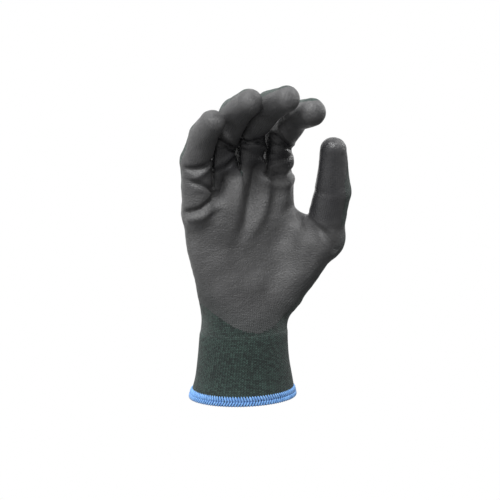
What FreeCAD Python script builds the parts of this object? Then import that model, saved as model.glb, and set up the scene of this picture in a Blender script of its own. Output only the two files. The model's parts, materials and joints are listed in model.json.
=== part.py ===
"""Cut resistant glove for the right hand, standing upright on its hem.

One knitted liner covers the hand, a thin coating is dipped over its palm side, and elastic
threads and an overlocked hem finish the cuff. A glove bends anywhere. Here it bends at the
wrist and at each finger joint of the hand it is knitted for, so liner and coating are cut
into the stretches between those joints, and a soft fold of glove fills each cut.

Frame: origin at the centre of the wrist opening, in the plane of the hem's lower rim.
+Z runs up to the fingers, +X to the thumb side, and -Y is the palm side.
"""
import FreeCAD, Part
import math
import os

# ---- driving dimensions (mm, degrees) ----
KNIT = 1.2                # wall of the knitted liner
COAT = 0.6                # coating on the palm side of the liner
WRIST_HEIGHT = 58.0       # wrist hinge above the hem's rim
HINGE_GAP = 0.3           # half the gap between two stretches, at their hinge axis
SWING_SPARE = 2.0         # angle left free between two stretches at the end of their travel

HEM_HEIGHT = 6.8          # overlocked band
HEM_THREAD = 0.8          # thread cover over the knit, inside, outside and below
ELASTIC_HEIGHTS = (14.0, 25.0, 36.0, 47.0)
ELASTIC_WIDTH = 1.0
ELASTIC_DEPTH = 0.5

COAT_REACH = 2.0          # how far the coating passes a finger's side line, to its back
PALM_COAT_EDGE = 3.0      # the same on the palm, behind the side line
COAT_LOW_EDGE = 5.0       # lowest coating above the wrist cut

# Cross-sections of cuff and palm: height, centre x, centre y, half width, half depth, turn.
SECTIONS = (
    (0.0, 0.0, 0.0, 38.0, 27.0, 20.0),
    (10.0, 0.6, 0.0, 35.5, 25.0, 20.0),
    (40.0, 0.6, 0.0, 31.8, 23.5, 15.0),
    (60.0, 1.8, 0.0, 32.0, 22.0, 10.0),
    (80.0, 1.2, 0.0, 36.0, 20.0, 2.0),
    (110.0, -1.8, 0.0, 41.0, 18.0, 0.0),
    (140.0, -3.4, -0.6, 42.0, 14.5, 0.0),
    (162.0, -3.8, -2.0, 40.0, 8.0, 0.0),
)
WEB_TOP = 160.0           # webs between index, middle and ring fingers
LITTLE_WEB = (-24.0, 153.0)   # x and height of the web beside the little finger
LITTLE_WEB_SLOPE = 25.0   # fall of the palm's edge from there, degrees

# Each finger: knuckle inside the palm; sideways lean and forward tilt of its first stretch;
# the way its palm side faces, from -Y towards +X; the bend at rest at its later joints; the
# lengths from knuckle to base joint, to middle joint, to end joint, to the tip's centre; and
# the radius at those five points.
FINGERS = {
    "little": dict(knuckle=(-36.3, -3.0, 136.0), lean=-4.0, tilt=2.0, facing=8.0,
                   bends=(30.0, 17.0), lengths=(18.0, 17.0, 21.0, 15.0),
                   radii=(9.6, 9.4, 9.2, 8.8, 8.2)),
    "ring": dict(knuckle=(-16.5, 0.0, 141.0), lean=-5.0, tilt=6.0, facing=11.5,
                 bends=(36.0, 20.0), lengths=(24.0, 19.0, 26.0, 17.0),
                 radii=(10.2, 10.1, 9.7, 9.3, 8.6)),
    "middle": dict(knuckle=(4.0, 1.0, 144.0), lean=-4.0, tilt=9.0, facing=10.0,
                   bends=(43.0, 20.0), lengths=(25.0, 21.0, 29.0, 18.0),
                   radii=(10.4, 10.3, 9.9, 9.4, 8.7)),
    "index": dict(knuckle=(25.9, 0.0, 142.0), lean=1.0, tilt=6.0, facing=4.0,
                  bends=(46.0, 26.0), lengths=(24.0, 18.0, 26.0, 18.0),
                  radii=(10.4, 10.3, 9.9, 9.4, 8.7)),
}
THUMB_HEEL = (29.0, -9.0, 76.0)
THUMB_HEEL_RADIUS = 14.5
THUMB_WEB = ((29.0, -5.0, 100.0), (31.0, -5.0, 120.0))   # where the thumb's web meets the palm
THUMB_WEB_RADII = (12.0, 9.5)
THUMB_WEB_STEP = 2.0      # the web meets the thumb's root this far inside its face
THUMB = dict(knuckle=(48.0, -28.0, 114.0), points=(1.5, -10.0, 34.0), curls=(-1.0, 0.4, 0.0),
             bends=(11.0,), lengths=(17.0, 18.5, 31.4), radii=(13.2, 12.6, 12.2, 8.4))

# Travel of each joint from the standing pose: how far it straightens, how far it bends.
WRIST_TRAVEL = (25.0, 25.0)
FINGER_TRAVEL = {
    "little": ((8.0, 30.0), (30.0, 32.0), (17.0, 22.0)),
    "ring": ((8.0, 30.0), (34.0, 32.0), (20.0, 22.0)),
    "middle": ((8.0, 30.0), (38.0, 32.0), (20.0, 22.0)),
    "index": ((8.0, 22.0), (40.0, 24.0), (24.0, 22.0)),
    "thumb": ((12.0, 20.0), (10.0, 35.0)),
}


# ---- directions and frames ----
def vec(values):
    return FreeCAD.Vector(*values)


def turned(direction, axis, degrees):
    return FreeCAD.Rotation(axis, degrees).multVec(direction)


def unit(vector):
    return vec(vector).normalize()


class Digit:
    """A finger or thumb: its joint points, stretch directions, and the axis it curls about."""

    def __init__(self, name, knuckle, points, curls, bends, lengths, radii):
        first = unit(points)
        palmar = vec(curls)
        palmar = unit(palmar - first * first.dot(palmar))
        self.name = name
        self.radii = radii
        self.axis = first.cross(palmar)
        self.directions = []
        self.points = [vec(knuckle)]
        total = 0.0
        for bend, length in zip((0.0, 0.0) + tuple(bends), lengths):
            total += bend
            direction = turned(first, self.axis, total)
            self.directions.append(direction)
            self.points.append(self.points[-1] + direction * length)

    def palmar(self, stretch):
        """The way the stretch's palm side faces."""
        return self.axis.cross(self.directions[stretch])

    def frame_at(self, hinge):
        """The point, half-way direction and palmar direction at a hinge."""
        along = unit(self.directions[hinge - 1] + self.directions[hinge])
        return self.points[hinge], along, self.axis.cross(along)


def finger(name, lean, tilt, facing, **shape):
    upright = vec((math.sin(math.radians(lean)), 0.0, math.cos(math.radians(lean))))
    curls = vec((math.sin(math.radians(facing)), -math.cos(math.radians(facing)), 0.0))
    axis = unit(upright.cross(unit(curls - upright * upright.dot(curls))))
    return Digit(name, points=turned(upright, axis, tilt), curls=curls, **shape)


# ---- solids ----
def stretch_solid(start, end, start_radius, end_radius):
    """A tapered round bar between two points."""
    length = (end - start).Length
    if abs(start_radius - end_radius) < 1e-6:
        return Part.makeCylinder(start_radius, length, start, end - start)
    return Part.makeCone(start_radius, end_radius, length, start, end - start)


def digit_solids(digit, inset):
    """The digit's outer form, drawn in by inset: bars with a ball at each joint."""
    solids = []
    for index, point in enumerate(digit.points):
        radius = digit.radii[index] - inset
        solids.append(Part.makeSphere(radius, point))
        if index:
            before = digit.radii[index - 1] - inset
            solids.append(stretch_solid(digit.points[index - 1], point, before, radius))
    return solids


def ellipse_wire(section, grow):
    """A closed elliptical wire, grown outwards by grow."""
    height, centre_x, centre_y, half_width, half_depth, turn = section
    ellipse = Part.Ellipse(vec((0, 0, 0)), half_width + grow, half_depth + grow)
    wire = Part.Wire([ellipse.toShape()])
    wire.rotate(vec((0, 0, 0)), vec((0, 0, 1)), -turn)
    wire.translate(vec((centre_x, centre_y, height)))
    return wire


def arm_form(grow):
    """Cuff and palm as one smooth solid, grown outwards by grow, below the finger roots."""
    form = Part.makeLoft([ellipse_wire(section, grow) for section in SECTIONS], True, False)
    web = vec((LITTLE_WEB[0], 0.0, LITTLE_WEB[1] + grow))
    rise = turned(vec((0, 0, 1)), vec((0, 1, 0)), -LITTLE_WEB_SLOPE)
    return form.cut([slab(WEB_TOP + grow, 200.0), half_space(web, rise)])


def slab(low, high):
    """A wide flat block between two heights."""
    reach = 150.0
    return Part.makeBox(2 * reach, 2 * reach, high - low, vec((-reach, -reach, low)))


def half_space(point, outward, reach=70.0):
    """A block that holds everything ahead of a plane."""
    block = Part.makeBox(2 * reach, 2 * reach, reach, vec((-reach, -reach, 0.0)))
    block.Placement = FreeCAD.Placement(point, FreeCAD.Rotation(vec((0, 0, 1)), outward))
    return block


def bow_tie(point, along, palmar, travel, reach, width):
    """The room that two stretches leave at their hinge so that they can swing."""
    straighten, bend = travel
    axis = palmar.cross(along)
    outline = []
    for side, swing in ((1, bend), (-1, straighten)):
        spread = HINGE_GAP + reach * math.tan(math.radians(swing / 2.0 + SWING_SPARE))
        corners = [(-HINGE_GAP, 0.0), (-spread, side * reach),
                   (spread, side * reach), (HINGE_GAP, 0.0)]
        outline.append([point + along * t + palmar * c - axis * width for t, c in corners])
    solids = []
    for corners in outline:
        face = Part.Face(Part.makePolygon(corners + corners[:1]))
        solids.append(face.extrude(axis * (2 * width)))
    return solids[0].fuse(solids[1]).removeSplitter()


def solids_in_order(shape, point, direction):
    """The shape's solids, sorted along a direction."""
    return sorted(shape.Solids, key=lambda solid: (solid.CenterOfMass - point).dot(direction))


# ---- the glove ----
def all_digits():
    digits = [finger(name, **shape) for name, shape in FINGERS.items()]
    digits.append(Digit("thumb", **THUMB))
    return digits


def digit_cuts(digit):
    """One bow-tie for each of the digit's hinges."""
    cuts = []
    for hinge, travel in enumerate(FINGER_TRAVEL[digit.name], start=1):
        point, along, palmar = digit.frame_at(hinge)
        reach = digit.radii[hinge] + 3.0
        cuts.append(bow_tie(point, along, palmar, travel, reach, reach))
    return cuts


def wrist_cut():
    """The wrist's bow-tie: the palm bends over the cuff about the X axis."""
    centre = vec((1.8, 0.0, WRIST_HEIGHT))
    return bow_tie(centre, vec((0, 0, 1)), vec((0, -1, 0)), WRIST_TRAVEL, 30.0, 45.0)


def beyond_base(digit):
    """Everything on the finger's side of its base hinge."""
    point, along, _ = digit.frame_at(1)
    return half_space(point, along)


def digit_form(digit, inset):
    """The digit's whole outer form as one solid."""
    solids = digit_solids(digit, inset)
    return solids[0].multiFuse(solids[1:])


def free_form(digit, inset):
    """The digit's form beyond its base hinge, where it leaves the palm."""
    solids = digit_solids(digit, inset)[1:]
    return solids[0].multiFuse(solids[1:]).common(beyond_base(digit))


def palm_form(digits, inset):
    """Cuff and palm with the roots of the digits, drawn in by inset."""
    solids = [arm_form(-inset)]
    for digit in digits:
        ends = digit.points[:2]
        radii = [radius - inset for radius in digit.radii[:2]]
        solids.append(stretch_solid(*ends, *radii))
        solids.extend(Part.makeSphere(radius, end) for radius, end in zip(radii, ends))
    thumb = digits[-1]
    heel = vec(THUMB_HEEL)
    heel_radius = THUMB_HEEL_RADIUS - inset
    root_radius = thumb.radii[0] - inset
    solids.append(Part.makeSphere(heel_radius, heel))
    solids.append(stretch_solid(heel, thumb.points[0], heel_radius, root_radius))
    for start, radius in zip(THUMB_WEB, THUMB_WEB_RADII):
        end_radius = root_radius - THUMB_WEB_STEP
        solids.append(Part.makeSphere(radius - inset, vec(start)))
        solids.append(stretch_solid(vec(start), thumb.points[0], radius - inset, end_radius))
    return solids[0].multiFuse(solids[1:])


def digit_parts(digit):
    """Liner and coating of each free stretch, and the fold at each hinge."""
    outer = free_form(digit, 0.0)
    knit_face = free_form(digit, COAT)
    hollow = digit_form(digit, COAT + KNIT)
    cuts = digit_cuts(digit)
    names = stretch_names(digit)
    base = digit.points[1]
    along = digit.directions[-1]

    liner = knit_face.cut([hollow] + cuts)
    coating = outer.cut([knit_face] + cuts)
    liners = solids_in_order(liner, base, along)
    parts = {}
    for index, (name, tube) in enumerate(zip(names, liners)):
        palm_side = digit.palmar(index + 1)
        edge = digit.points[index + 1] - palm_side * COAT_REACH
        skin = largest(coating.common(half_space(edge, palm_side)), tube)
        parts[digit.name + "_" + name + "_liner"] = tube
        parts[digit.name + "_" + name + "_coating"] = skin
    return parts


def largest(shape, near):
    """The solid of a shape that lies closest around another solid."""
    return min(shape.Solids, key=lambda solid: (solid.CenterOfMass - near.CenterOfMass).Length)


def stretch_names(digit):
    return ("base", "end") if digit.name == "thumb" else ("base", "middle", "end")


def fold_parts(digits, glove):
    """The soft folds: the glove's wall inside each cut."""
    parts = {}
    for digit in digits:
        for name, cut in zip(stretch_names(digit), digit_cuts(digit)):
            parts[digit.name + "_" + name + "_fold"] = glove[digit.name].common(cut)
    return parts


def digit_wall(digit):
    """The full wall of a digit, knit and coating together."""
    return digit_form(digit, 0.0).cut(digit_form(digit, COAT + KNIT))


def palm_parts(digits, forms):
    """Palm liner and palm coating, cut free of the wrist and of every finger's base."""
    outer, knit_face, hollow = forms
    below_wrist = slab(-10.0, WRIST_HEIGHT)
    limits = [wrist_cut(), below_wrist]
    for digit in digits:
        limits.append(digit_cuts(digit)[0])
        limits.append(digit_end_room(digit))
    liner = knit_face.cut([hollow] + limits)
    low_edge = slab(-10.0, WRIST_HEIGHT + COAT_LOW_EDGE)
    front = half_space(vec((0, PALM_COAT_EDGE, 100.0)), vec((0, -1, 0)), 150.0)
    coating = outer.cut([knit_face, low_edge] + limits).common(front)
    return {"palm_liner": biggest(liner), "palm_coating": biggest(coating)}


def digit_end_room(digit):
    """The space that belongs to the digit beyond its base hinge."""
    point, along, _ = digit.frame_at(1)
    return Part.makeCylinder(digit.radii[1] + HINGE_GAP, 90.0, point, along)


def biggest(shape):
    return max(shape.Solids, key=lambda solid: solid.Volume)


def cuff_parts():
    """Cuff knit, its elastic threads, and the overlocked hem."""
    limits = [wrist_cut(), slab(WRIST_HEIGHT, 200.0), slab(-10.0, HEM_THREAD)]
    wall = arm_form(-COAT).cut([arm_form(-COAT - KNIT)] + limits)
    cover = arm_form(HEM_THREAD - COAT)
    hollow = arm_form(-HEM_THREAD - COAT - KNIT)
    parts = {"hem_overlock": cover.cut(hollow).common(slab(0.0, HEM_HEIGHT)).cut(wall)}
    for index, height in enumerate(ELASTIC_HEIGHTS, start=1):
        thread = elastic_thread(height)
        wall = wall.cut(thread)
        parts["cuff_elastic_" + str(index)] = thread
    parts["cuff_knit"] = wall
    return parts


def elastic_thread(height):
    """A flat elastic thread laid into the middle of the cuff's wall."""
    middle = COAT + KNIT / 2.0
    band = slab(height - ELASTIC_WIDTH / 2.0, height + ELASTIC_WIDTH / 2.0)
    outside = arm_form(ELASTIC_DEPTH / 2.0 - middle)
    return outside.cut(arm_form(-ELASTIC_DEPTH / 2.0 - middle)).common(band)


def wrist_fold(forms):
    """The soft fold at the wrist, between cuff and palm."""
    return forms[1].cut(forms[2]).common(wrist_cut())


def export(parts):
    os.makedirs("parts", exist_ok=True)
    for name, shape in parts.items():
        shape.exportStep("parts/" + name + ".step")
        print(name, len(shape.Solids), round(shape.Volume, 1), shape.isValid())


def main():
    digits = all_digits()
    walls = {digit.name: digit_wall(digit) for digit in digits}
    forms = [palm_form(digits, inset) for inset in (0.0, COAT, COAT + KNIT)]
    parts = {}
    for digit in digits:
        parts.update(digit_parts(digit))
    parts.update(fold_parts(digits, walls))
    parts.update(palm_parts(digits, forms))
    parts.update(cuff_parts())
    parts["wrist_fold"] = wrist_fold(forms)
    export(parts)


main()
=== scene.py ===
"""Visual model of a cut resistant glove: a knitted and dipped skin over the frame's joints.

Lengths are millimetres until a mesh is made, and metres from then on.
"""
import json
import math

import bpy
import numpy as np
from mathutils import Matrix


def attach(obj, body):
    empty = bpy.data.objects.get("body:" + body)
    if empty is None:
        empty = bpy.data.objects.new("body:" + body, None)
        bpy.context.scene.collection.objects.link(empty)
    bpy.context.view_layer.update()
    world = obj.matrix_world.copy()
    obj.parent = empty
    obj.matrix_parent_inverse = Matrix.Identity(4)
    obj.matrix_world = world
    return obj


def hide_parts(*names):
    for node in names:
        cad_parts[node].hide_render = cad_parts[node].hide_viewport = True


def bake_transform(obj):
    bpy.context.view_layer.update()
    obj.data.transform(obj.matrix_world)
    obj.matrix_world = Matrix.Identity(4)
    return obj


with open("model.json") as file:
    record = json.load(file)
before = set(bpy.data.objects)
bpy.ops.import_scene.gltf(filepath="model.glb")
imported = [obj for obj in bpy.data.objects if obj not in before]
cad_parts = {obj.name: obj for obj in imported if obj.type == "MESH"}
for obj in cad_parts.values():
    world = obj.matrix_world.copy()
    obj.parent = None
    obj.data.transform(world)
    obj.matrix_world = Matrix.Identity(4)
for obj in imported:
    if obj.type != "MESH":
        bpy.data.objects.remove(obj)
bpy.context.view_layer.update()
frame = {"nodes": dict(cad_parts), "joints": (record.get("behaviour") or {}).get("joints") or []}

MM = 0.001
JOINTS = {joint["name"]: joint for joint in frame["joints"]}

# ---- camera (metres, degrees) ----
CAMERA_TARGET = (0.006, 0.0, 0.105)
CAMERA_AZIMUTH = -30.0
CAMERA_ELEVATION = 11.0
CAMERA_DISTANCE = 0.9
CAMERA_LENS = 92.6        # millimetres, as is the sensor
SENSOR_WIDTH = 36.0

# ---- light (metres, watts) ----
SURROUND_BRIGHT_SIDE = (-0.45, 0.55, 0.7)
SURROUND_RANGE = (0.22, 1.5)       # weakest and strongest
SURROUND_TURN = (-0.75, 0.85)      # where the light starts and stops growing, as a cosine
LAMPS = (                 # name, place, size, power
    ("key", (-0.30, -0.42, 0.95), 0.22, 12.0),
    ("side", (0.75, 0.05, 0.45), 0.35, 2.0),
)

# ---- colours, dark and light of each ----
KNIT_GREEN = ((0.006, 0.014, 0.012, 1), (0.026, 0.052, 0.043, 1))
COAT_GREY = ((0.046, 0.046, 0.047, 1), (0.070, 0.070, 0.071, 1))
# painted shade colour for the coating in the fingers' bends, the thumb web and over the thumb
COAT_PAINTED_SHADE = (0.017, 0.017, 0.019, 1)
COAT_THIN = (0.036, 0.043, 0.042, 1)
# thread blue, darkened as painted shade for the gaps between the overlock stitches
HEM_CORE_SHADED_BLUE = ((0.02, 0.07, 0.22, 1), (0.05, 0.14, 0.36, 1))
HEM_BLUE = ((0.07, 0.20, 0.47, 1), (0.17, 0.36, 0.66, 1))
ELASTIC_CREAM = ((0.6, 0.58, 0.52, 1), (0.75, 0.73, 0.68, 1))

# ---- cuff and palm: height, centre x, centre y, half width, half depth, turn ----
SECTIONS = np.array([
    (0.0, 0.0, 0.0, 38.0, 27.0, 20.0),
    (10.0, 0.6, 0.0, 35.5, 25.0, 20.0),
    (40.0, 0.6, 0.0, 31.8, 23.5, 15.0),
    (60.0, 1.8, 0.0, 32.0, 22.0, 10.0),
    (80.0, 1.2, 0.0, 36.0, 20.0, 2.0),
    (110.0, -1.8, 0.0, 41.0, 18.0, 0.0),
    (140.0, -3.4, -0.6, 42.0, 14.5, 0.0),
    (162.0, -3.8, -2.0, 40.0, 8.0, 0.0),
])
CUFF_TOP = 49.0
SKIN_BOTTOM = 47.0
WRIST_TOP = 69.0
WRIST_BLEND = (50.0, 66.0)
ARM_TOP = 157.0           # the palm ends here, inside the finger roots
LITTLE_WEB = (-21.0, 0.0, 151.0)
LITTLE_WEB_SLOPE = (-0.42, 0.0, 0.9)
CAD_TO_SKIN = -0.3        # the soft skin lies this far out from the section's own line
WALL = 1.7                # knit and coating together
COAT_THICKNESS = 0.45
KNIT_BELOW_COAT = 0.05    # the knit's face lies this far under the coating's inner side
COAT_OVERLAP = 0.04

# ---- digits: length of the root below the base hinge, and radii from root to tip ----
STRETCHES = {name: ("base", "middle", "end") for name in ("little", "ring", "middle", "index")}
STRETCHES["thumb"] = ("base", "end")
ROOT_LENGTH = {"little": 18.0, "ring": 24.0, "middle": 25.0, "index": 24.0, "thumb": 17.0}
RADII = {
    "little": (10.6, 10.5, 10.3, 9.5, 8.5),
    "ring": (12.0, 11.2, 10.9, 10.1, 9.1),
    "middle": (12.0, 11.4, 11.1, 10.2, 8.9),
    "index": (12.0, 11.4, 11.0, 10.2, 9.4),
    "thumb": (13.6, 13.2, 12.5, 8.9),
}
CROTCHES = {("little", "ring"): 151.5, ("ring", "middle"): 162.5, ("middle", "index"): 163.5}
FINGER_GAP = 0.8          # half the slit between neighbouring fingers
THUMB_HEEL = (29.0, -9.0, 76.0)
THUMB_HEEL_RADIUS = 14.8
THUMB_WEB = ((29.0, -5.0, 100.0, 12.0), (32.5, -6.0, 123.0, 9.0))
ROOT_START = -6.0         # a digit owns the skin from here on, counted from its base hinge
ROOT_REACH = 2.5          # and no further than this from its own surface
ROOT_BEND = (0.3, 6.0)    # ends of the blend at a base hinge, counted from it
STRETCH_BEND = (-5.0, 5.0)    # and at the others

# ---- widths over which the forms run into each other ----
STRETCH_BLEND = 1.2
TOP_BLEND = 5.0
WEB_BLEND = 6.0
HEEL_BLEND = 12.0
FINGER_BLEND = 6.0
THUMB_BLEND = 4.0

GRID_STEP = 1.05
GRID_LOW = np.array((-60.0, -66.0, SKIN_BOTTOM))
GRID_HIGH = np.array((68.0, 36.0, 229.0))


# ---- small helpers ----
def unit(vector):
    vector = np.asarray(vector, float)
    return vector / np.linalg.norm(vector)


def smoothstep(low, high, value):
    t = np.clip((value - low) / (high - low), 0.0, 1.0)
    return t * t * (3.0 - 2.0 * t)


def smooth_min(a, b, width):
    h = np.clip(0.5 + 0.5 * (b - a) / width, 0.0, 1.0)
    return b * (1.0 - h) + a * h - width * h * (1.0 - h)


def ridge(distance, width):
    return np.exp(-(distance / width) ** 2)


def tapered_bar(points, start, end, start_radius, end_radius):
    """Distance from points to a round bar whose radius changes along it."""
    along = end - start
    t = np.clip((points - start) @ along / (along @ along), 0.0, 1.0)
    nearest = start + t[:, None] * along
    radius = start_radius + (end_radius - start_radius) * t
    return np.linalg.norm(points - nearest, axis=1) - radius


def polyline_distance(points, line):
    """Distance in a plane from points to a bent line, and how far along it the nearest point is."""
    line = np.asarray(line, float)
    lengths = np.linalg.norm(np.diff(line, axis=0), axis=1)
    total = lengths.sum()
    best = np.full(len(points), 1e9)
    place = np.zeros(len(points))
    before = 0.0
    for start, end, length in zip(line[:-1], line[1:], lengths):
        t = np.clip((points - start) @ (end - start) / length ** 2, 0.0, 1.0)
        distance = np.linalg.norm(points - (start + t[:, None] * (end - start)), axis=1)
        closer = distance < best
        best = np.where(closer, distance, best)
        place = np.where(closer, (before + t * length) / total, place)
        before += length
    return best, place


# ---- skeleton, read from the frame ----
class Digit:
    """Joint points, directions and radii of a finger or thumb."""

    def __init__(self, name):
        joints = [JOINTS[name + "_" + part + "_bend"] for part in STRETCHES[name]]
        hinges = [np.array(joint["pos_m"]) / MM for joint in joints]
        tip = self.tip_centre(name, hinges[-1], RADII[name][-1])
        root = hinges[0] - unit(hinges[1] - hinges[0]) * ROOT_LENGTH[name]
        turn = -1.0 if name == "thumb" else 1.0
        self.name = name
        self.radii = RADII[name]
        self.axis = np.array(joints[0]["axis"]) * turn
        self.points = [root] + hinges + [tip]
        self.directions = [unit(b - a) for a, b in zip(self.points[:-1], self.points[1:])]
        self.halfway = [unit(a + b) for a, b in zip(self.directions[:-1], self.directions[1:])]

    @staticmethod
    def tip_centre(name, hinge, radius):
        mesh = frame["nodes"][name + "_end_liner"].data
        points = np.array([vertex.co for vertex in mesh.vertices]) / MM
        reach = np.linalg.norm(points - hinge, axis=1)
        far = points[reach.argmax()]
        return hinge + (far - hinge) * (1.0 - radius / reach.max())

    def distance(self, points):
        total = np.full(len(points), 1e9)
        for index in range(len(self.directions)):
            ends = self.points[index:index + 2]
            bar = tapered_bar(points, *ends, *self.radii[index:index + 2])
            total = smooth_min(total, bar, STRETCH_BLEND)
        return total

    def along_hinge(self, points, hinge):
        """How far points lie ahead of a hinge, counted from 1 at the base."""
        return (points - self.points[hinge]) @ self.halfway[hinge - 1]

    def split(self, points, hinge):
        """How far points lie ahead of the plane half-way between a hinge and the next."""
        middle = (self.points[hinge] + self.points[hinge + 1]) / 2.0
        normal = unit(self.halfway[hinge - 1] + self.halfway[hinge])
        return (points - middle) @ normal

    def local(self, points):
        """Length along the digit, and the palm-side and sideways parts, in radii."""
        best = np.full(len(points), 1e9)
        length = np.zeros(len(points))
        palmar = np.zeros(len(points))
        side = np.zeros(len(points))
        before = -ROOT_LENGTH[self.name]
        for index, direction in enumerate(self.directions):
            start = self.points[index]
            span = np.linalg.norm(self.points[index + 1] - start)
            ahead = (points - start) @ direction
            t = np.clip(ahead, 0.0, span)
            offset = points - (start + t[:, None] * direction)
            reach = np.linalg.norm(offset, axis=1)
            front = np.cross(self.axis, direction)
            closer = reach < best
            best = np.where(closer, reach, best)
            length = np.where(closer, before + t, length)
            palmar = np.where(closer, offset @ front / np.maximum(reach, 1e-6), palmar)
            side = np.where(closer, offset @ self.axis / np.maximum(reach, 1e-6), side)
            before += span
        return length, palmar, side


DIGITS = [Digit(name) for name in ("little", "ring", "middle", "index", "thumb")]
BY_NAME = {digit.name: digit for digit in DIGITS}


# ---- the skin as a distance field ----
def section_values(height):
    """Section at each height, on smooth curves through the driving sections."""
    knots = SECTIONS[:, 0]
    values = SECTIONS[:, 1:]
    slopes = np.gradient(values, knots, axis=0)
    height = np.clip(height, knots[0], knots[-1])
    index = np.clip(np.searchsorted(knots, height) - 1, 0, len(knots) - 2)
    span = (knots[index + 1] - knots[index])[:, None]
    t = (height - knots[index])[:, None] / span
    a = values[index] * (1 + 2 * t) * (1 - t) ** 2 + slopes[index] * span * t * (1 - t) ** 2
    return a + values[index + 1] * t * t * (3 - 2 * t) + slopes[index + 1] * span * t * t * (t - 1)


def section_frame(points):
    """Position of points inside their section, in its own turned axes, with its half sizes."""
    centre_x, centre_y, width, depth, turn = section_values(points[:, 2]).T
    turn = np.radians(turn)
    x = points[:, 0] - centre_x
    y = points[:, 1] - centre_y
    across = x * np.cos(turn) - y * np.sin(turn)
    back = x * np.sin(turn) + y * np.cos(turn)
    return across, back, width + CAD_TO_SKIN, depth + CAD_TO_SKIN


def arm_distance(points):
    across, back, width, depth = section_frame(points)
    scale = np.sqrt((across / width) ** 2 + (back / depth) ** 2)
    slope = np.sqrt((across / width ** 2) ** 2 + (back / depth ** 2) ** 2)
    near = scale * (scale - 1.0) / np.maximum(slope, 1e-6)
    sides = np.where(scale < 0.3, (scale - 1.0) * depth, near)
    top = points[:, 2] - ARM_TOP
    web = (points - np.array(LITTLE_WEB)) @ np.array(LITTLE_WEB_SLOPE)
    return -smooth_min(-sides, -np.maximum(top, web), TOP_BLEND)


def skin_distance(points):
    """Distance to the glove's outer face, negative inside it."""
    arm = arm_distance(points)
    thumb = BY_NAME["thumb"]
    root = (thumb.points[0], THUMB_HEEL_RADIUS, thumb.radii[0])
    heel = tapered_bar(points, np.array(THUMB_HEEL), *root)
    for x, y, z, radius in THUMB_WEB:
        bar = tapered_bar(points, np.array((x, y, z)), thumb.points[0], radius, thumb.radii[0])
        heel = smooth_min(heel, bar, WEB_BLEND)
    digits = {digit.name: digit.distance(points) for digit in DIGITS}
    fingers = np.minimum.reduce([digits[name] for name in RADII if name != "thumb"])
    hand = smooth_min(smooth_min(arm, heel, HEEL_BLEND), fingers, FINGER_BLEND)
    skin = smooth_min(hand, digits["thumb"], THUMB_BLEND)
    for (a, b), crotch in CROTCHES.items():
        slit = FINGER_GAP - np.abs(digits[a] - digits[b]) / 2.0
        skin = np.maximum(skin, np.minimum(slit, points[:, 2] - crotch))
    return skin


def slopes_of(points, reach=0.25):
    """Unit outward direction of the field at points."""
    parts = []
    for axis in range(3):
        step = np.zeros(3)
        step[axis] = reach
        parts.append(skin_distance(points + step) - skin_distance(points - step))
    gradient = np.stack(parts, axis=1)
    size = np.linalg.norm(gradient, axis=1, keepdims=True)
    return gradient / np.maximum(size, 1e-9), size[:, 0] / (2.0 * reach)


# ---- surface from the field ----
def sample_field():
    counts = np.ceil((GRID_HIGH - GRID_LOW) / GRID_STEP).astype(int)
    field = np.empty(counts)
    xs, ys = np.meshgrid(np.arange(counts[0]), np.arange(counts[1]), indexing="ij")
    for level in range(counts[2]):
        grid = np.stack([xs, ys, np.full_like(xs, level)], axis=-1).reshape(-1, 3)
        field[:, :, level] = skin_distance(GRID_LOW + grid * GRID_STEP).reshape(counts[:2])
    return field


def surface_net(field):
    """Vertices and quads where the field changes sign: one vertex in each crossed cell."""
    inside = field < 0.0
    shape = np.array(field.shape) - 1
    corners = [np.array((i, j, k)) for i in (0, 1) for j in (0, 1) for k in (0, 1)]
    total = np.zeros(shape, int)
    for i, j, k in corners:
        total += inside[i:i + shape[0], j:j + shape[1], k:k + shape[2]]
    cells = np.argwhere((total > 0) & (total < 8))
    number = np.full(shape, -1)
    number[tuple(cells.T)] = np.arange(len(cells))
    values = [field[tuple((cells + corner).T)] for corner in corners]
    place = np.zeros((len(cells), 3))
    crossings = np.zeros(len(cells))
    for a in range(8):
        for b in range(a + 1, 8):
            if np.abs(corners[a] - corners[b]).sum() != 1:
                continue
            crossed = (values[a] < 0) != (values[b] < 0)
            gap = np.where(crossed, values[a] - values[b], 1.0)
            t = np.where(crossed, values[a] / gap, 0.0)[:, None]
            spot = corners[a] + t * (corners[b] - corners[a])
            place += np.where(crossed[:, None], spot, 0.0)
            crossings += crossed
    points = GRID_LOW + (cells + place / crossings[:, None]) * GRID_STEP
    return points, net_faces(inside, number)


def net_faces(inside, number):
    """One quad around every grid edge that the surface crosses."""
    faces = []
    shape = np.array(number.shape)
    for axis in range(3):
        u, v = (axis + 1) % 3, (axis + 2) % 3
        step = np.eye(3, dtype=int)
        low = [slice(None)] * 3
        high = [slice(None)] * 3
        low[axis] = slice(0, -1)
        high[axis] = slice(1, None)
        changes = inside[tuple(low)] != inside[tuple(high)]
        spots = np.argwhere(changes)
        above = (spots[:, u] > 0) & (spots[:, v] > 0)
        below = (spots[:, u] < shape[u]) & (spots[:, v] < shape[v])
        spots = spots[above & below]
        ring = [spots - step[u] - step[v], spots - step[v], spots, spots - step[u]]
        quad = np.stack([number[tuple(cell.T)] for cell in ring], axis=1)
        outward = inside[tuple(low)][tuple(spots.T)]
        quad[~outward] = quad[~outward][:, ::-1]
        faces.append(quad)
    faces = np.concatenate(faces)
    return faces[(faces >= 0).all(axis=1)]


def edges_of(faces):
    pairs = np.concatenate([faces[:, (a, (a + 1) % 4)] for a in range(4)])
    return np.unique(np.sort(pairs, axis=1), axis=0)


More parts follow.
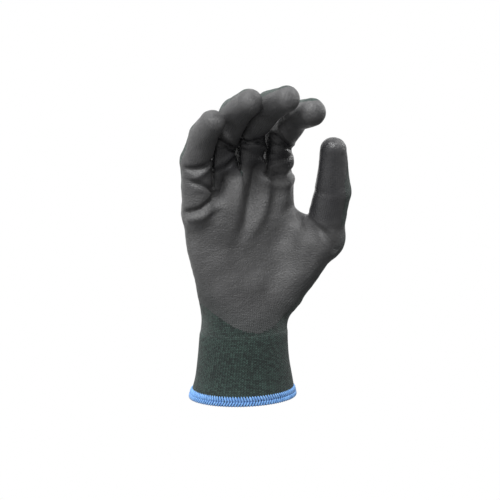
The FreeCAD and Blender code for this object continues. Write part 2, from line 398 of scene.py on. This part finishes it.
def relax(points, faces, rounds=6):
    """Evens the mesh out and lays it back on the field's surface."""
    edges = edges_of(faces)
    degree = np.bincount(edges.ravel(), minlength=len(points))[:, None]
    held = points[:, 2] < SKIN_BOTTOM + 1.5 * GRID_STEP
    for _ in range(rounds):
        mean = np.zeros_like(points)
        np.add.at(mean, edges[:, 0], points[edges[:, 1]])
        np.add.at(mean, edges[:, 1], points[edges[:, 0]])
        moved = points + 0.6 * (mean / degree - points)
        moved[held] = points[held]
        normal, steep = slopes_of(moved)
        shift = skin_distance(moved) / np.maximum(steep, 0.3)
        points = moved - normal * np.clip(shift, -0.8, 0.8)[:, None]
    return points


# ---- folds and creases ----
# Palm lines in x and z: points, width, depth (negative stands proud), how it fades at the end.
PALM_LINES = (
    (((4.0, 162.0), (0.0, 146.0), (-4.0, 130.0), (-13.0, 112.0)), 5.0, 5.2, 0.8),
    (((11.0, 160.0), (12.5, 146.0), (8.0, 132.0), (-4.0, 112.0)), 4.4, -2.8, 0.9),
    (((19.5, 158.0), (19.0, 146.0), (13.0, 133.0), (3.0, 119.0)), 5.8, 1.7, 0.9),
    (((28.0, 154.0), (27.0, 142.0), (20.0, 128.0)), 5.0, -2.0, 0.9),
    (((-8.0, 160.0), (-12.0, 144.0), (-14.0, 126.0)), 4.4, -2.8, 0.8),
    (((-20.0, 158.0), (-25.0, 146.0), (-30.0, 136.0)), 4.6, 4.2, 0.7),
    (((8.5, 161.0), (16.0, 157.5), (27.0, 157.0), (38.0, 160.5)), 2.2, 2.6, 0.0),
    (((8.5, 155.5), (17.0, 151.5), (28.0, 151.0), (38.0, 154.5)), 3.0, -1.2, 0.0),
    (((-50.0, 136.0), (-39.5, 139.5), (-27.0, 147.0), (-21.0, 156.0)), 1.8, 2.8, 0.2),
    (((-50.0, 130.5), (-38.5, 134.0), (-26.0, 140.0)), 2.6, -1.4, 0.0),
    (((36.0, 130.0), (42.0, 119.0), (49.0, 108.0)), 2.4, 2.8, 0.3),
    (((33.0, 126.0), (36.0, 112.0), (33.0, 94.0)), 4.0, 1.8, 0.6),
    (((-46.0, 118.0), (-20.0, 110.0), (2.0, 98.0)), 7.0, 0.8, 0.5),
)
# Creases at finger hinges: digit, hinge, place ahead of it, slant, width, depth.
JOINT_CREASES = (
    ("little", 2, 0.5, 0.30, 1.7, 2.4),
    ("little", 2, -3.4, 0.62, 2.0, -1.2),
    ("little", 1, 0.5, -0.55, 2.0, 1.8),
    ("ring", 2, 0.0, -0.45, 2.0, 2.6),
    ("ring", 2, 4.4, -0.75, 2.3, -1.2),
    ("ring", 1, 5.5, 0.55, 2.4, 1.6),
    ("ring", 1, 10.0, 0.70, 2.6, -0.9),
    ("middle", 2, 0.0, 0.28, 2.0, 2.8),
    ("middle", 2, -3.8, -0.45, 2.2, -1.3),
    ("middle", 1, 6.0, -0.35, 2.6, 1.2),
    ("index", 2, 0.0, -0.50, 1.8, 2.8),
    ("index", 2, 3.8, -0.90, 2.1, -1.3),
    ("index", 2, -4.8, 0.35, 1.9, 0.8),
    ("index", 1, 5.0, 0.30, 2.2, 1.6),
    ("thumb", 2, 0.0, 0.20, 2.2, 0.5),
    ("thumb", 1, -1.0, -0.30, 1.8, 0.6),
)
HOLLOW_CENTRE = (-4.0, 104.0)
HOLLOW_SPREAD = (17.0, 24.0)
HOLLOW_DEPTH = 3.2
UNEVENNESS = ((0.22, 17.0, 3), (0.06, 6.0, 5))    # depth, size, seed


def soft_noise(points, size, seed):
    """A smooth, repeatable unevenness, made of a few waves in random directions."""
    random = np.random.default_rng(seed)
    total = np.zeros(len(points))
    for _ in range(9):
        direction = unit(random.normal(size=3))
        wave = size * random.uniform(0.7, 1.5)
        total += np.sin(points @ direction * 2.0 * math.pi / wave + random.uniform(0.0, 6.28))
    return total / 3.0


def palm_relief(points, normals):
    """Depth of folds in the palm, along its own lines."""
    thumb = BY_NAME["thumb"]
    on_thumb = smoothstep(4.0, 0.5, thumb.distance(points))
    beyond_web = smoothstep(-8.0, -2.0, thumb.along_hinge(points, 1))
    facing = smoothstep(0.05, 0.5, -normals[:, 1]) * smoothstep(80.0, 95.0, points[:, 2])
    facing *= 1.0 - on_thumb * beyond_web
    plane = points[:, (0, 2)]
    depth = np.zeros(len(points))
    for line, width, deep, fade in PALM_LINES:
        distance, place = polyline_distance(plane, line)
        strength = 1.0 - fade * smoothstep(0.35, 1.0, place)
        depth += ridge(distance, width) * deep * strength
    spread = (plane - HOLLOW_CENTRE) / HOLLOW_SPREAD
    depth += HOLLOW_DEPTH * np.exp(-(spread ** 2).sum(axis=1))
    return depth * facing


def crease_relief(points, nearest):
    depth = np.zeros(len(points))
    for name, hinge, place, slant, width, deep in JOINT_CREASES:
        digit = BY_NAME[name]
        mine = nearest == DIGITS.index(digit)
        _, palmar, side = digit.local(points[mine])
        ahead = digit.along_hinge(points[mine], hinge) - place - slant * side * digit.radii[hinge]
        window = smoothstep(-0.15, 0.55, palmar)
        window = window * smoothstep(-6.0, -1.0, digit.along_hinge(points[mine], 1))
        depth[mine] += ridge(ahead, width) * deep * window
    return depth


def detailed(points, normals, nearest):
    depth = palm_relief(points, normals) + crease_relief(points, nearest)
    depth += sum(deep * soft_noise(points, size, seed) for deep, size, seed in UNEVENNESS)
    quiet = smoothstep(SKIN_BOTTOM + 1.0, SKIN_BOTTOM + 12.0, points[:, 2])
    return points - normals * (depth * quiet)[:, None]


# ---- where the coating lies ----
DIP_LOW = 51.0            # lowest point of the dipped edge
DIP_CENTRE = 0.0
DIP_RISE = 0.019
SIDE_EDGE = -0.25         # coating passes the side line by this much of a radius
TIP_EDGE = -0.75          # and further at the fingertips
HEEL_EDGE = -0.45         # and round the ball of the thumb
THUMB_EDGE_SHIFT = -0.3
EDGE_SOFTNESS = 0.12
COVER_REACH = 22.0        # height over which the coating comes to hide the knit
THUMB_GLOSS_AND_SHADE = (0.35, 0.55)    # gloss and painted shade all over the thumb, and more on its inner side
LITTLE_GLOSS_AND_SHADE = 0.45
TIP_GLOSS_AND_SHADE_LOSS = 0.72


def heel_front(points):
    """How far in front of the line through the ball of the thumb, in radii."""
    start = np.array(THUMB_HEEL)
    along = BY_NAME["thumb"].points[0] - start
    place = np.clip((points - start) @ along / (along @ along), 0.0, 1.0)
    return (start[1] + place * along[1] - points[:, 1]) / THUMB_HEEL_RADIUS


def gloss_and_shade_values(points, normals):
    """Where the coating is pulled smooth, with painted shade darkening it: in the fingers' bends,
    the thumb web and all over the thumb.
    """
    thumb = BY_NAME["thumb"]
    near_thumb = smoothstep(4.0, 0.5, thumb.distance(points))
    near_thumb *= smoothstep(-6.0, 4.0, thumb.along_hinge(points, 1))
    everywhere, inner = THUMB_GLOSS_AND_SHADE
    # painted shade and gloss over the thumb, with more of both on its inner side
    gloss_and_shade = near_thumb * (everywhere + inner * smoothstep(0.2, -0.7, normals[:, 0]))
    # painted shade and gloss in the thumb web
    web = smoothstep(0.2, 0.8, normals[:, 0]) * smoothstep(20.0, 30.0, points[:, 0])
    web *= smoothstep(110.0, 124.0, points[:, 2]) * (1.0 - near_thumb)
    gloss_and_shade = np.maximum(gloss_and_shade, web)
    # painted shade and gloss over the fingers' base bends, less towards the tips and on the little
    # finger
    for digit in DIGITS[:4]:
        low = smoothstep(-7.0, 3.0, digit.along_hinge(points, 1))
        high = 1.0 - TIP_GLOSS_AND_SHADE_LOSS * smoothstep(-2.0, 12.0, digit.along_hinge(points, 2))
        near = smoothstep(6.0, 1.0, digit.distance(points))
        share = LITTLE_GLOSS_AND_SHADE if digit.name == "little" else 1.0
        gloss_and_shade = np.maximum(gloss_and_shade, share * low * high * near)
    return gloss_and_shade


def past_edge(edge, value):
    return smoothstep(edge - EDGE_SOFTNESS, edge + EDGE_SOFTNESS, value)


def coat_values(points, nearest):
    """Coating from 0, bare knit, to 1, and how fully it hides the ribs below it."""
    _, back, _, depth = section_frame(points)
    beside = smoothstep(14.0, 26.0, points[:, 0])
    heel = beside * past_edge(HEEL_EDGE, heel_front(points))
    sides = np.maximum(past_edge(SIDE_EDGE, -back / depth), heel)
    dip = DIP_LOW + DIP_RISE * (points[:, 0] - DIP_CENTRE) ** 2
    low = smoothstep(dip - 1.5, dip + 1.5, points[:, 2])
    coat = sides * low
    cover = smoothstep(dip, dip + COVER_REACH, points[:, 2])
    for index, digit in enumerate(DIGITS):
        mine = nearest == index
        length, palmar, _ = digit.local(points[mine])
        full = sum(np.linalg.norm(b - a) for a, b in zip(digit.points[1:-1], digit.points[2:]))
        edge = SIDE_EDGE + (TIP_EDGE - SIDE_EDGE) * smoothstep(0.5, 1.0, length / full)
        if digit.name == "thumb":
            edge = edge + THUMB_EDGE_SHIFT
        beyond = smoothstep(-8.0, 2.0, length)
        coat[mine] = coat[mine] * (1.0 - beyond) + past_edge(edge, palmar) * beyond
    return coat, cover


# ---- knit coordinates ----
WALE = 1.45               # width of one column of stitches
COURSE = 1.15             # height of one row
PALM_WALES = 130          # columns around the palm


def knit_coordinates(points, faces, nearest):
    """For each face corner: stitch column and row, unbroken within the face."""
    region = nearest[faces[:, 0]]
    corners = np.zeros((len(faces), 4, 2))
    across, back, width, depth = section_frame(points)
    angle = np.arctan2(back / depth, across / width)
    layouts = {-1: (angle * PALM_WALES / (2 * math.pi), points[:, 2] / COURSE, PALM_WALES)}
    for index, digit in enumerate(DIGITS):
        length, palmar, side = digit.local(points)
        count = round(2 * math.pi * digit.radii[1] / WALE)
        turn = np.arctan2(palmar, side) * count / (2 * math.pi)
        layouts[index] = (turn, length / COURSE, count)
    for index, (column, row, count) in layouts.items():
        mine = region == index
        columns = column[faces[mine]]
        jumps = np.round((columns - columns[:, :1]) / count)
        corners[mine, :, 0] = columns - jumps * count
        corners[mine, :, 1] = row[faces[mine]]
    return corners


# ---- mesh building ----
def new_object(name, vertices, faces, material):
    mesh = bpy.data.meshes.new(name)
    mesh.from_pydata((np.asarray(vertices) * MM).tolist(), [], [list(map(int, f)) for f in faces])
    mesh.update()
    mesh.shade_smooth()
    mesh.materials.append(material)
    piece = bpy.data.objects.new(name, mesh)
    bpy.context.scene.collection.objects.link(piece)
    return piece


class Skin:
    """The whole outer skin, from which every soft piece is cut."""

    def __init__(self):
        points, faces = surface_net(sample_field())
        points = relax(points, faces)
        nearest = self.nearest_digit(points)
        normals, _ = slopes_of(points)
        self.points = detailed(points, normals, nearest)
        self.faces = faces
        self.nearest = nearest
        self.normals = self.vertex_normals()
        self.coat, self.cover = coat_values(points, nearest)
        self.gloss_and_shade = gloss_and_shade_values(points, self.normals)
        self.knit = knit_coordinates(points, faces, nearest)
        self.labels = self.face_labels(points)

    @staticmethod
    def nearest_digit(points):
        """Index of the digit that each point belongs to, or -1 on the palm."""
        distances = np.stack([digit.distance(points) for digit in DIGITS], axis=1)
        nearest = distances.argmin(axis=1)
        for index, digit in enumerate(DIGITS):
            before = digit.along_hinge(points, 1) < ROOT_START
            nearest = np.where((nearest == index) & before, -1, nearest)
        return np.where(distances.min(axis=1) > ROOT_REACH, -1, nearest)

    def vertex_normals(self):
        a, b, c, d = (self.points[self.faces[:, k]] for k in range(4))
        face = np.cross(c - a, d - b)
        normals = np.zeros_like(self.points)
        for k in range(4):
            np.add.at(normals, self.faces[:, k], face)
        return normals / np.maximum(np.linalg.norm(normals, axis=1, keepdims=True), 1e-9)

    def face_labels(self, points):
        """Name of the piece that each face belongs to."""
        centres = points[self.faces].mean(axis=1)
        nearest = self.nearest[self.faces[:, 0]]
        labels = np.where(centres[:, 2] < WRIST_TOP, "wrist", "palm").astype(object)
        for index, digit in enumerate(DIGITS):
            mine = (nearest == index) & (digit.along_hinge(centres, 1) > 0.0)
            labels[mine] = digit.name + "_base"
            for hinge, stretch in enumerate(STRETCHES[digit.name][1:], start=1):
                labels[mine & (digit.split(centres, hinge) > 0.0)] = digit.name + "_" + stretch
        return labels

    def shell(self, name, chosen, outer, inner, material):
        """A closed shell over the chosen faces, between two depths below the skin."""
        faces = self.faces[chosen]
        used, compact = np.unique(faces, return_inverse=True)
        faces = compact.reshape(-1, 4)
        count = len(used)
        top = self.points[used] - self.normals[used] * outer[used][:, None]
        bottom = self.points[used] - self.normals[used] * inner[used][:, None]
        rim = open_edges(faces)
        walls = np.stack([rim[:, 1], rim[:, 0], rim[:, 0] + count, rim[:, 1] + count], axis=1)
        everything = np.concatenate([faces, faces[:, ::-1] + count, walls])
        piece = new_object(name, np.concatenate([top, bottom]), everything, material)
        self.dress(piece, used, chosen, len(walls))
        return piece

    def dress(self, piece, used, chosen, wall_count):
        """Gives a shell its normals, its knit coordinates and its coating values."""
        mesh = piece.data
        normals = np.concatenate([self.normals[used], -self.normals[used]])
        mesh.normals_split_custom_set_from_vertices(normals.tolist())
        knit = self.knit[chosen]
        corners = np.concatenate([knit, knit[:, ::-1], np.repeat(knit[:1], wall_count, axis=0)])
        layer = mesh.uv_layers.new(name="knit")
        layer.data.foreach_set("uv", corners.reshape(-1).astype(np.float32))
        for name, values in (("cover", self.cover), ("gloss_and_shade", self.gloss_and_shade)):
            layer = mesh.attributes.new(name, "FLOAT", "POINT")
            layer.data.foreach_set("value", np.tile(values[used], 2).astype(np.float32))


def open_edges(faces):
    """Edges that only one face uses, in that face's direction."""
    pairs = np.concatenate([faces[:, (a, (a + 1) % 4)] for a in range(4)])
    keys = np.sort(pairs, axis=1)
    _, first, counts = np.unique(keys, axis=0, return_index=True, return_counts=True)
    return pairs[first[counts == 1]]


# ---- materials ----
class Nodes:
    """Short calls for building a material's node tree."""

    def __init__(self, name):
        self.material = bpy.data.materials.new(name)
        self.material.use_nodes = True
        self.tree = self.material.node_tree
        self.shader = self.tree.nodes["Principled BSDF"]

    def add(self, kind, inputs=(), **settings):
        node = self.tree.nodes.new(kind)
        for key, value in settings.items():
            setattr(node, key, value)
        for socket, value in dict(inputs).items():
            self.feed(node.inputs[socket], value)
        return node

    def feed(self, socket, value):
        if isinstance(value, bpy.types.NodeSocket):
            self.tree.links.new(value, socket)
        else:
            socket.default_value = value

    def math(self, operation, a, b=0.0):
        return self.add("ShaderNodeMath", {0: a, 1: b}, operation=operation).outputs[0]

    def mix(self, factor, a, b):
        node = self.add("ShaderNodeMix", {0: factor, 6: a, 7: b}, data_type="RGBA")
        return node.outputs[2]

    def noise(self, vector, scale, detail, roughness):
        inputs = {"Vector": vector, "Scale": scale, "Detail": detail, "Roughness": roughness}
        return self.add("ShaderNodeTexNoise", inputs).outputs["Fac"]

    def remap(self, value, low, high, out_low=0.0, out_high=1.0):
        inputs = {0: value, 1: low, 2: high, 3: out_low, 4: out_high}
        return self.add("ShaderNodeMapRange", inputs, clamp=True).outputs[0]

    def place(self):
        return self.add("ShaderNodeTexCoord").outputs["Object"]

    def attribute(self, name):
        return self.add("ShaderNodeAttribute", attribute_name=name).outputs["Fac"]

    def bump(self, height, distance, strength=1.0, below=None):
        inputs = {"Height": height, "Distance": distance, "Strength": strength}
        if below is not None:
            inputs["Normal"] = below
        return self.add("ShaderNodeBump", inputs).outputs[0]

    def finish(self, color, roughness, normal, **sockets):
        self.feed(self.shader.inputs["Base Color"], color)
        self.feed(self.shader.inputs["Roughness"], roughness)
        self.feed(self.shader.inputs["Normal"], normal)
        for name, value in sockets.items():
            self.feed(self.shader.inputs[name.replace("_", " ")], value)
        return self.material


def stitch_pattern(nodes):
    """Height of plain knit stitches and a value that is steady within each stitch."""
    uv = nodes.add("ShaderNodeUVMap", uv_map="knit").outputs[0]
    split = nodes.add("ShaderNodeSeparateXYZ", {0: uv})
    column, row = split.outputs[0], split.outputs[1]
    inside = nodes.math("FRACT", column)
    off_centre = nodes.math("ABSOLUTE", nodes.math("SUBTRACT", inside, 0.5))
    lean = nodes.math("ADD", row, nodes.math("MULTIPLY", off_centre, 1.1))
    legs = nodes.math("SINE", nodes.math("MULTIPLY", lean, 2.0 * math.pi))
    crown = nodes.math("SINE", nodes.math("MULTIPLY", inside, math.pi))
    legs = nodes.math("MULTIPLY", legs, 0.28)
    height = nodes.math("ADD", legs, nodes.math("MULTIPLY", crown, 0.6))
    cell = nodes.add("ShaderNodeCombineXYZ", {
        0: nodes.math("FLOOR", column), 1: nodes.math("FLOOR", lean)}).outputs[0]
    yarn = nodes.add("ShaderNodeTexWhiteNoise", {0: cell}, noise_dimensions="2D").outputs["Value"]
    return height, yarn


def knit_material(name, dark, light):
    nodes = Nodes(name)
    height, yarn = stitch_pattern(nodes)
    place = nodes.place()
    patch = nodes.noise(place, 90.0, 4.0, 0.6)
    streak = nodes.math("MULTIPLY", nodes.math("ADD", yarn, patch), 0.5)
    color = nodes.mix(nodes.remap(streak, 0.25, 0.75), dark, light)
    fibre = nodes.noise(place, 2600.0, 3.0, 0.7)
    # painted shade in the hollows between stitches and painted light on their crowns: the colour is
    # scaled by stitch height
    shade = nodes.remap(height, -0.2, 0.8, 0.35, 1.2)
    scaled = {0: color, "Scale": shade}
    shaded = nodes.add("ShaderNodeVectorMath", scaled, operation="SCALE").outputs[0]
    base = nodes.bump(height, 0.00045)
    normal = nodes.bump(fibre, 0.00012, 0.8, base)
    roughness = nodes.remap(fibre, 0.3, 0.7, 0.78, 0.95)
    return nodes.finish(shaded, roughness, normal, Sheen_Weight=0.12, Sheen_Roughness=0.5)


def coating_material():
    nodes = Nodes("dipped_coating")
    place = nodes.place()
    height, _ = stitch_pattern(nodes)
    cover = nodes.attribute("cover")
    bare = nodes.math("SUBTRACT", 1.0, cover)
    cloudy = nodes.noise(place, 34.0, 4.0, 0.6)
    color = nodes.mix(nodes.remap(cloudy, 0.3, 0.7), *COAT_GREY)
    gloss_and_shade = nodes.attribute("gloss_and_shade")
    # painted shade: the coating is darkened where this mask is high, in the bends, the thumb web
    # and over the thumb
    color = nodes.mix(gloss_and_shade, color, COAT_PAINTED_SHADE)
    thin = nodes.mix(nodes.math("MULTIPLY", bare, 0.45), color, COAT_THIN)
    pebble = nodes.noise(place, 850.0, 3.0, 0.65)
    pebble = nodes.math("MULTIPLY", pebble, nodes.remap(gloss_and_shade, 0.0, 1.0, 1.0, 0.35))
    showing = nodes.remap(cover, 0.0, 1.0, 0.00030, 0.00010)
    telegraph = nodes.bump(height, showing)
    normal = nodes.bump(pebble, 0.00075, 1.0, telegraph)
    rough = nodes.remap(nodes.noise(place, 420.0, 3.0, 0.6), 0.35, 0.65, 0.40, 0.54)
    rough = nodes.math("SUBTRACT", rough, nodes.math("MULTIPLY", gloss_and_shade, 0.20))
    roughness = nodes.math("ADD", rough, nodes.math("MULTIPLY", bare, 0.18))
    return nodes.finish(thin, roughness, normal, Specular_IOR_Level=0.5)


def thread_material(name, dark, light):
    nodes = Nodes(name)
    place = nodes.place()
    blotch = nodes.noise(place, 700.0, 3.0, 0.6)
    color = nodes.mix(nodes.remap(blotch, 0.35, 0.65), dark, light)
    fibre = nodes.noise(place, 4200.0, 3.0, 0.7)
    normal = nodes.bump(fibre, 0.00012, 0.9)
    roughness = nodes.remap(fibre, 0.3, 0.7, 0.6, 0.85)
    return nodes.finish(color, roughness, normal, Sheen_Weight=0.2)


# ---- cuff and hem ----
RIBS = 104                # vertical ribs around the cuff
RIB_HEIGHT = 0.2
RIB_POINTS = 6            # points across one rib, and across one hem stitch
CUFF_BOTTOM = 1.0
CUFF_RINGS = 46
CUFF_FADE = 3.0           # the ribs die out this far below the cuff's top
CUFF_FULLNESS = 0.25
CUFF_WAVE = 0.12
HEM_HEIGHT = 6.8
HEM_THICKNESS = 0.35      # the band stands this far out of the wall on each side
HEM_WAVE = 0.12
HEM_PROFILE = 28          # points around the band's own section
HEM_STITCHES = 116
STITCH_ROWS = ((0.1, 3.7, 0.0, 0.9), (6.9, 3.1, 0.0, 0.9))    # heights, then places in a pitch
STITCH_OUT = 0.45
STITCH_BULGE = 0.35
STITCH_RADIUS = 0.72
STITCH_RINGS = 6
THREAD_SIDES = 6


def ring_points(height, angle, grow):
    """Points around the section at a height, grown outwards by grow."""
    height = np.broadcast_to(np.asarray(height, float), np.shape(angle)).ravel()
    angle = np.ravel(angle)
    grow = np.broadcast_to(grow, angle.shape)
    centre_x, centre_y, width, depth, turn = section_values(height).T
    turn = np.radians(turn)
    across = np.cos(angle) * width
    back = np.sin(angle) * depth
    outward = np.stack([np.cos(angle) / width, np.sin(angle) / depth], axis=1)
    outward /= np.linalg.norm(outward, axis=1, keepdims=True)
    across = across + outward[:, 0] * grow
    back = back + outward[:, 1] * grow
    x = across * np.cos(turn) + back * np.sin(turn) + centre_x
    y = -across * np.sin(turn) + back * np.cos(turn) + centre_y
    return np.stack([x, y, height], axis=1)


def tube_faces(rings, around, closed):
    """Quads over a grid of rings, joined end to end when closed."""
    faces = []
    for ring in range(rings if closed else rings - 1):
        upper = (ring + 1) % rings
        for index in range(around):
            after = (index + 1) % around
            faces.append((ring * around + index, ring * around + after,
                          upper * around + after, upper * around + index))
    return faces


def build_cuff(material):
    """Ribbed cuff: the outside going up, then the inside coming down."""
    around = RIBS * RIB_POINTS
    angle = np.linspace(0.0, 2.0 * math.pi, around, endpoint=False)
    heights = np.linspace(CUFF_BOTTOM, CUFF_TOP, CUFF_RINGS)
    ribs = RIB_HEIGHT * np.cos(angle * RIBS)
    rings = []
    for height in heights:
        fade = 1.0 - smoothstep(CUFF_TOP - CUFF_FADE, CUFF_TOP, height)
        wave = CUFF_WAVE * np.sin(angle * 5.0 + height * 0.15) * np.sin(height * 0.13)
        proud = (ribs + (CUFF_FULLNESS + wave)) * fade
        rings.append(ring_points(height, angle, CAD_TO_SKIN + proud))
    for height in heights[::-1]:
        rings.append(ring_points(height, angle, CAD_TO_SKIN - WALL))
    faces = tube_faces(len(rings), around, True)
    piece = new_object("cuff_knit_rib", np.concatenate(rings), faces, material)
    layer = piece.data.uv_layers.new(name="knit")
    rows = np.concatenate([heights, heights[::-1]]) / COURSE
    corners = []
    for ring in range(len(rings)):
        upper = (ring + 1) % len(rings)
        index = np.arange(around) / RIB_POINTS
        after = index + 1.0 / RIB_POINTS
        low, high = np.full(around, rows[ring]), np.full(around, rows[upper])
        quad = [(index, low), (after, low), (after, high), (index, high)]
        corners.append(np.stack([np.stack(pair, axis=1) for pair in quad], axis=1))
    layer.data.foreach_set("uv", np.concatenate(corners).reshape(-1).astype(np.float32))
    return piece


def build_hem_band(material):
    """Rolled band of overlock thread around the cuff's edge, a darker blue than the stitches on it,
    as painted shade in the gaps between them.
    """
    around = HEM_STITCHES * RIB_POINTS
    angle = np.linspace(0.0, 2.0 * math.pi, around, endpoint=False)
    profile = np.linspace(0.0, 2.0 * math.pi, HEM_PROFILE, endpoint=False)
    middle = CAD_TO_SKIN - WALL / 2.0
    reach = WALL / 2.0 + HEM_THICKNESS
    wave = HEM_WAVE * np.cos(angle * HEM_STITCHES)
    rings = []
    for turn in profile:
        across = math.copysign(abs(math.cos(turn)) ** 0.6, math.cos(turn)) * reach
        rise = math.copysign(abs(math.sin(turn)) ** 0.7, math.sin(turn)) * HEM_HEIGHT / 2.0
        height = HEM_HEIGHT / 2.0 + rise
        rings.append(ring_points(height, angle, middle + across + wave * (across > 0)))
    faces = tube_faces(len(rings), around, True)
    return new_object("hem_band", np.concatenate(rings), faces, material)


def thread_tube(path):
    """A short thread along a path, closed at both ends."""
    path = np.asarray(path)
    tangent = unit(path[-1] - path[0])
    first = unit(np.cross(tangent, (0.0, 0.0, 1.0)))
    second = np.cross(tangent, first)
    turns = np.linspace(0.0, 2.0 * math.pi, THREAD_SIDES, endpoint=False)
    taper = np.sqrt(np.clip(1.0 - np.linspace(-1.0, 1.0, len(path)) ** 4, 0.12, 1.0))
    circle = np.cos(turns)[:, None] * first + np.sin(turns)[:, None] * second
    rings = [spot + circle * STITCH_RADIUS * size for spot, size in zip(path, taper)]
    faces = [face[::-1] for face in tube_faces(len(path), THREAD_SIDES, False)]
    last = (len(path) - 1) * THREAD_SIDES
    caps = [tuple(range(THREAD_SIDES)), tuple(range(last, last + THREAD_SIDES))[::-1]]
    return np.concatenate(rings), faces + caps


def build_hem_stitches(material):
    """Two rows of slanting overlock threads that meet in the middle of the band."""
    vertices = []
    faces = []
    count = 0
    pitch = 2.0 * math.pi / HEM_STITCHES
    outside = CAD_TO_SKIN + STITCH_OUT
    t = np.linspace(0.0, 1.0, STITCH_RINGS)
    for stitch in range(HEM_STITCHES):
        for start, end, first, last in STITCH_ROWS:
            height = start + (end - start) * t
            angle = (stitch + first + (last - first) * t) * pitch
            arch = np.sin(math.pi * np.clip(height / HEM_HEIGHT, 0.0, 1.0)) ** 0.5
            part, own = thread_tube(ring_points(height, angle, outside + STITCH_BULGE * arch))
            vertices.append(part)
            faces += [tuple(i + count for i in face) for face in own]
            count += len(part)
    return new_object("hem_stitches", np.concatenate(vertices), faces, material)


def piece_plan():
    """Bodies and blend ends of each piece of skin."""
    wrist_x = JOINTS["wrist_bend"]["pos_m"][0] / MM
    plan = {"palm": ("palm", None, None, None)}
    low, high = ((wrist_x, 0.0, height) for height in WRIST_BLEND)
    plan["wrist"] = ("cuff", "palm", low, high)
    for digit in DIGITS:
        parent = "palm"
        for hinge, stretch in enumerate(STRETCHES[digit.name], start=1):
            body = digit.name + "_" + stretch
            turn = ROOT_BEND if hinge == 1 else STRETCH_BEND
            ahead = digit.halfway[hinge - 1]
            ends = [digit.points[hinge] + ahead * reach for reach in turn]
            plan[body] = (parent, body, *ends)
            parent = body
    return plan


def build_skin(knit, coating):
    skin = Skin()
    under = COAT_THICKNESS * smoothstep(0.5, 0.9, skin.coat)
    coated = skin.coat[skin.faces].mean(axis=1) > 0.5
    none = np.zeros_like(under)
    for label, (first, second, start, end) in piece_plan().items():
        mine = skin.labels == label
        outer, inner = under + KNIT_BELOW_COAT, none + WALL
        pieces = [skin.shell(label + "_knit", mine, outer, inner, knit)]
        dipped = mine & coated
        if dipped.any():
            inner = under + COAT_OVERLAP
            pieces.append(skin.shell(label + "_dip", dipped, none, inner, coating))
        for piece in pieces:
            if second is None:
                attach(piece, first)
            else:
                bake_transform(piece)
        stand_for(label)


def stand_for(label):
    """Says which plain CAD nodes the soft pieces take the place of."""
    if label == "wrist":
        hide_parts("wrist_fold")
        return
    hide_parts(label + "_liner")
    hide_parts(label + "_coating")
    if label != "palm":
        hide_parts(label + "_fold")


def build_cuff_pieces(knit, hem, core):
    cuff = build_cuff(knit)
    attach(cuff, "cuff")
    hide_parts("cuff_knit")
    band = build_hem_band(core)
    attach(band, "cuff")
    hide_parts("hem_overlock")
    stitches = build_hem_stitches(hem)
    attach(stitches, "cuff")


# ---- camera and light ----
def add_camera():
    azimuth = math.radians(CAMERA_AZIMUTH)
    elevation = math.radians(CAMERA_ELEVATION)
    back = np.array((math.sin(azimuth) * math.cos(elevation),
                     -math.cos(azimuth) * math.cos(elevation), math.sin(elevation)))
    camera = bpy.data.objects.new("camera", bpy.data.cameras.new("camera"))
    camera.location = np.array(CAMERA_TARGET) + back * CAMERA_DISTANCE
    camera.rotation_euler = (math.pi / 2.0 - elevation, 0.0, azimuth)
    camera.data.lens = CAMERA_LENS
    camera.data.sensor_width = SENSOR_WIDTH
    camera.data.dof.use_dof = False
    bpy.context.scene.collection.objects.link(camera)
    bpy.context.scene.camera = camera


def add_area_light(name, place, size, power):
    light = bpy.data.lights.new(name, "AREA")
    light.energy = power
    light.size = size
    lamp = bpy.data.objects.new(name, light)
    lamp.location = place
    aim = np.array(CAMERA_TARGET) - np.array(place)
    lamp.rotation_euler = (math.acos(-aim[2] / np.linalg.norm(aim)), 0.0,
                           math.atan2(aim[1], aim[0]) - math.pi / 2.0)
    bpy.context.scene.collection.objects.link(lamp)


def add_light():
    """White surround to the eye, with its light stronger from above, behind and the left."""
    world = bpy.data.worlds.new("white_surround")
    world.use_nodes = True
    tree = world.node_tree
    background = tree.nodes["Background"]
    place = tree.nodes.new("ShaderNodeTexCoord")
    toward = tree.nodes.new("ShaderNodeVectorMath")
    toward.operation = "DOT_PRODUCT"
    toward.inputs[1].default_value = unit(SURROUND_BRIGHT_SIDE)
    tree.links.new(place.outputs["Generated"], toward.inputs[0])
    spread = tree.nodes.new("ShaderNodeMapRange")
    spread.interpolation_type = "SMOOTHSTEP"
    limits = (*SURROUND_TURN, *SURROUND_RANGE)
    for socket, value in zip(list(spread.inputs)[1:5], limits):
        socket.default_value = value
    tree.links.new(toward.outputs["Value"], spread.inputs[0])
    seen = tree.nodes.new("ShaderNodeLightPath")
    strength = tree.nodes.new("ShaderNodeMix")
    tree.links.new(seen.outputs["Is Camera Ray"], strength.inputs[0])
    tree.links.new(spread.outputs[0], strength.inputs[2])
    strength.inputs[3].default_value = 1.0
    tree.links.new(strength.outputs[0], background.inputs[1])
    background.inputs[0].default_value = (1.0, 1.0, 1.0, 1.0)
    bpy.context.scene.world = world
    for name, position, size, power in LAMPS:
        add_area_light(name, position, size, power)
    bpy.context.scene.view_settings.view_transform = "Standard"


def main():
    add_camera()
    add_light()
    knit = knit_material("green_heather_knit", *KNIT_GREEN)
    coating = coating_material()
    core = thread_material("blue_overlock_core_shaded", *HEM_CORE_SHADED_BLUE)
    hem = thread_material("blue_overlock", *HEM_BLUE)
    elastic = thread_material("bare_elastic", *ELASTIC_CREAM)
    for name, node in frame["nodes"].items():
        if name.startswith("cuff_elastic"):
            node.data.materials.clear()
            node.data.materials.append(elastic)
    build_cuff_pieces(knit, hem, core)
    build_skin(knit, coating)


main()
